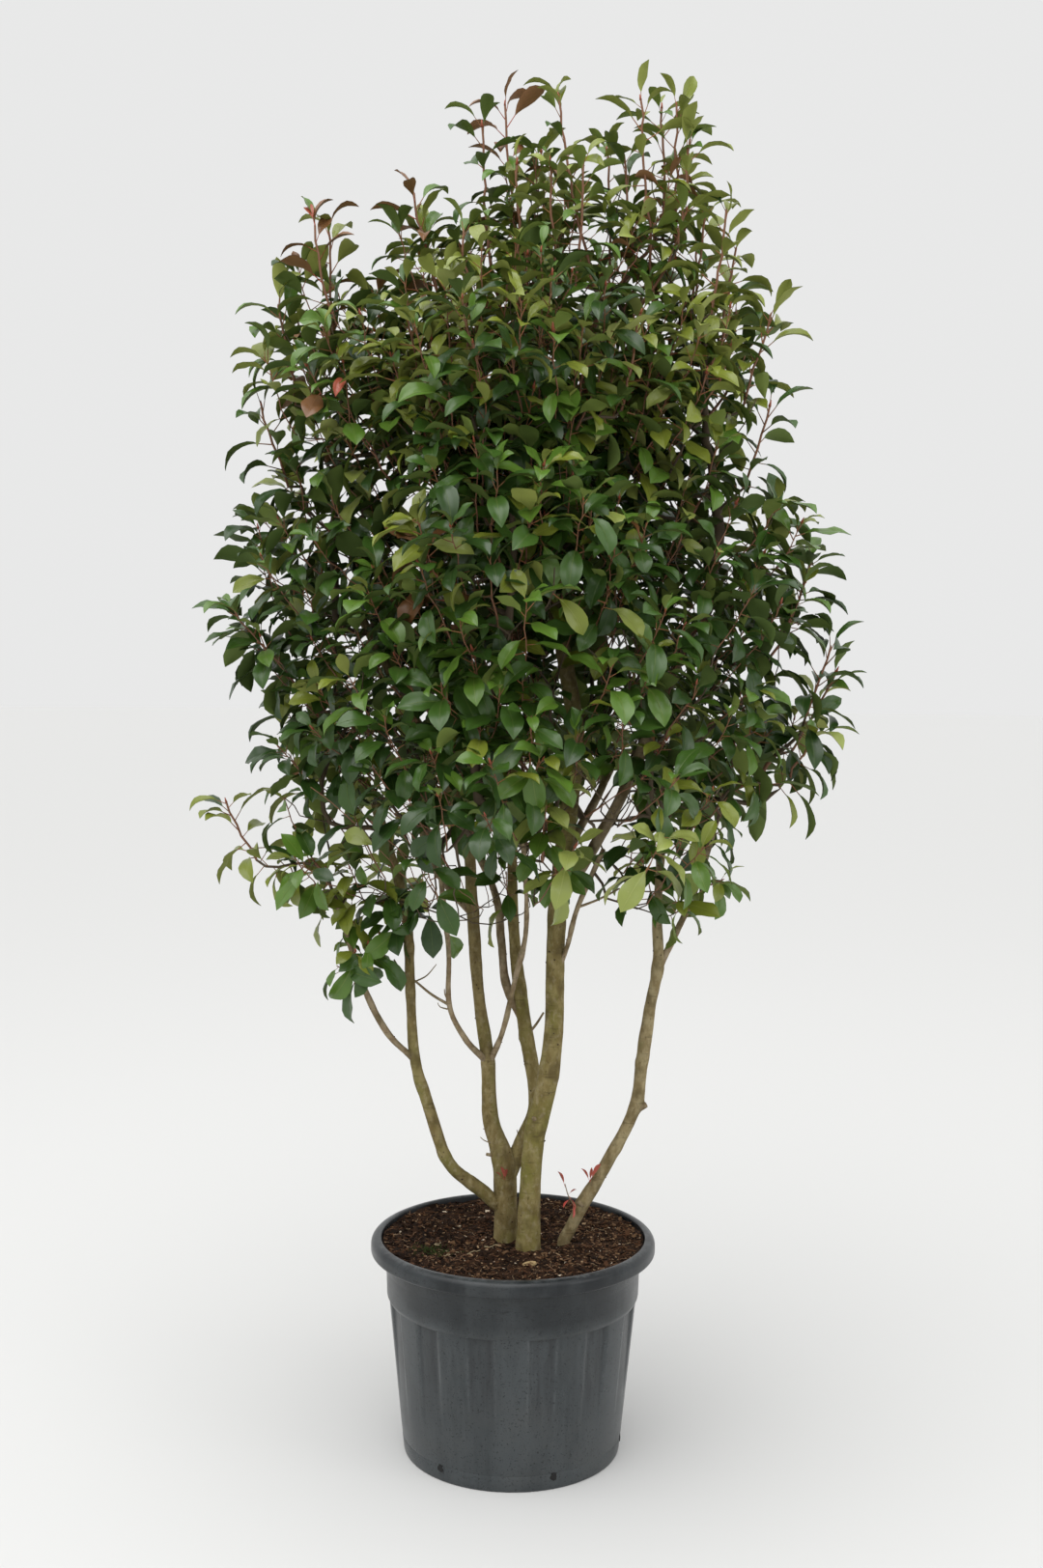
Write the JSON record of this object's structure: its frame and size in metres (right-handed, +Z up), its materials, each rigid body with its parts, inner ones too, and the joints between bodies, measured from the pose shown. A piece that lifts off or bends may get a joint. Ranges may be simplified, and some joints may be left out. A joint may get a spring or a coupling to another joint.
{
  "type": "potted photinia shrub",
  "caption": "Evergreen shrub with several bare stems and a tall full crown of glossy leaves, standing in a round nursery pot of compost.",
  "frame": {"origin": "centre of the pot's flat underside", "axes": "+Z up along the plant, -Y towards the side seen in the picture, +X to that view's right"},
  "size_m": [1.3415, 1.09, 2.87],
  "materials": {
    "pot_plastic": "dark grey moulded plastic, satin, dusty and lightly scuffed",
    "compost": "moist bark and peat compost, dark brown, matt",
    "stem_bark": "smooth grey-brown bark with an olive tint, matt",
    "twig_bark": "young brown bark, matt",
    "foliage": "glossy dark green leaves"
  },
  "bodies": {
    "root": {"pot": "pot_plastic", "soil": "compost", "left_stem": "stem_bark", "left_bough": "stem_bark", "left_low_branch": "twig_bark", "left_inner_branch": "twig_bark", "inner_right_branch": "twig_bark", "left_upper_limb": "twig_bark", "back_stem": "stem_bark", "back_left_branch": "twig_bark", "centre_stem": "stem_bark", "centre_twig": "twig_bark", "right_upper_limb": "stem_bark", "back_right_limb": "twig_bark", "right_stem": "stem_bark", "right_fork": "twig_bark", "low_left": "foliage", "low_left_back": "foliage", "low_front": "foliage", "low_right_front": "foliage", "low_right": "foliage", "low_right_back": "foliage", "mid_left": "foliage", "mid_front": "foliage", "mid_right": "foliage", "mid_back": "foliage", "heart": "foliage", "up_left": "foliage", "up_front": "foliage", "up_right": "foliage", "up_back": "foliage", "top_left": "foliage", "top_centre": "foliage", "top_right": "foliage"}
  },
  "joints": []
}
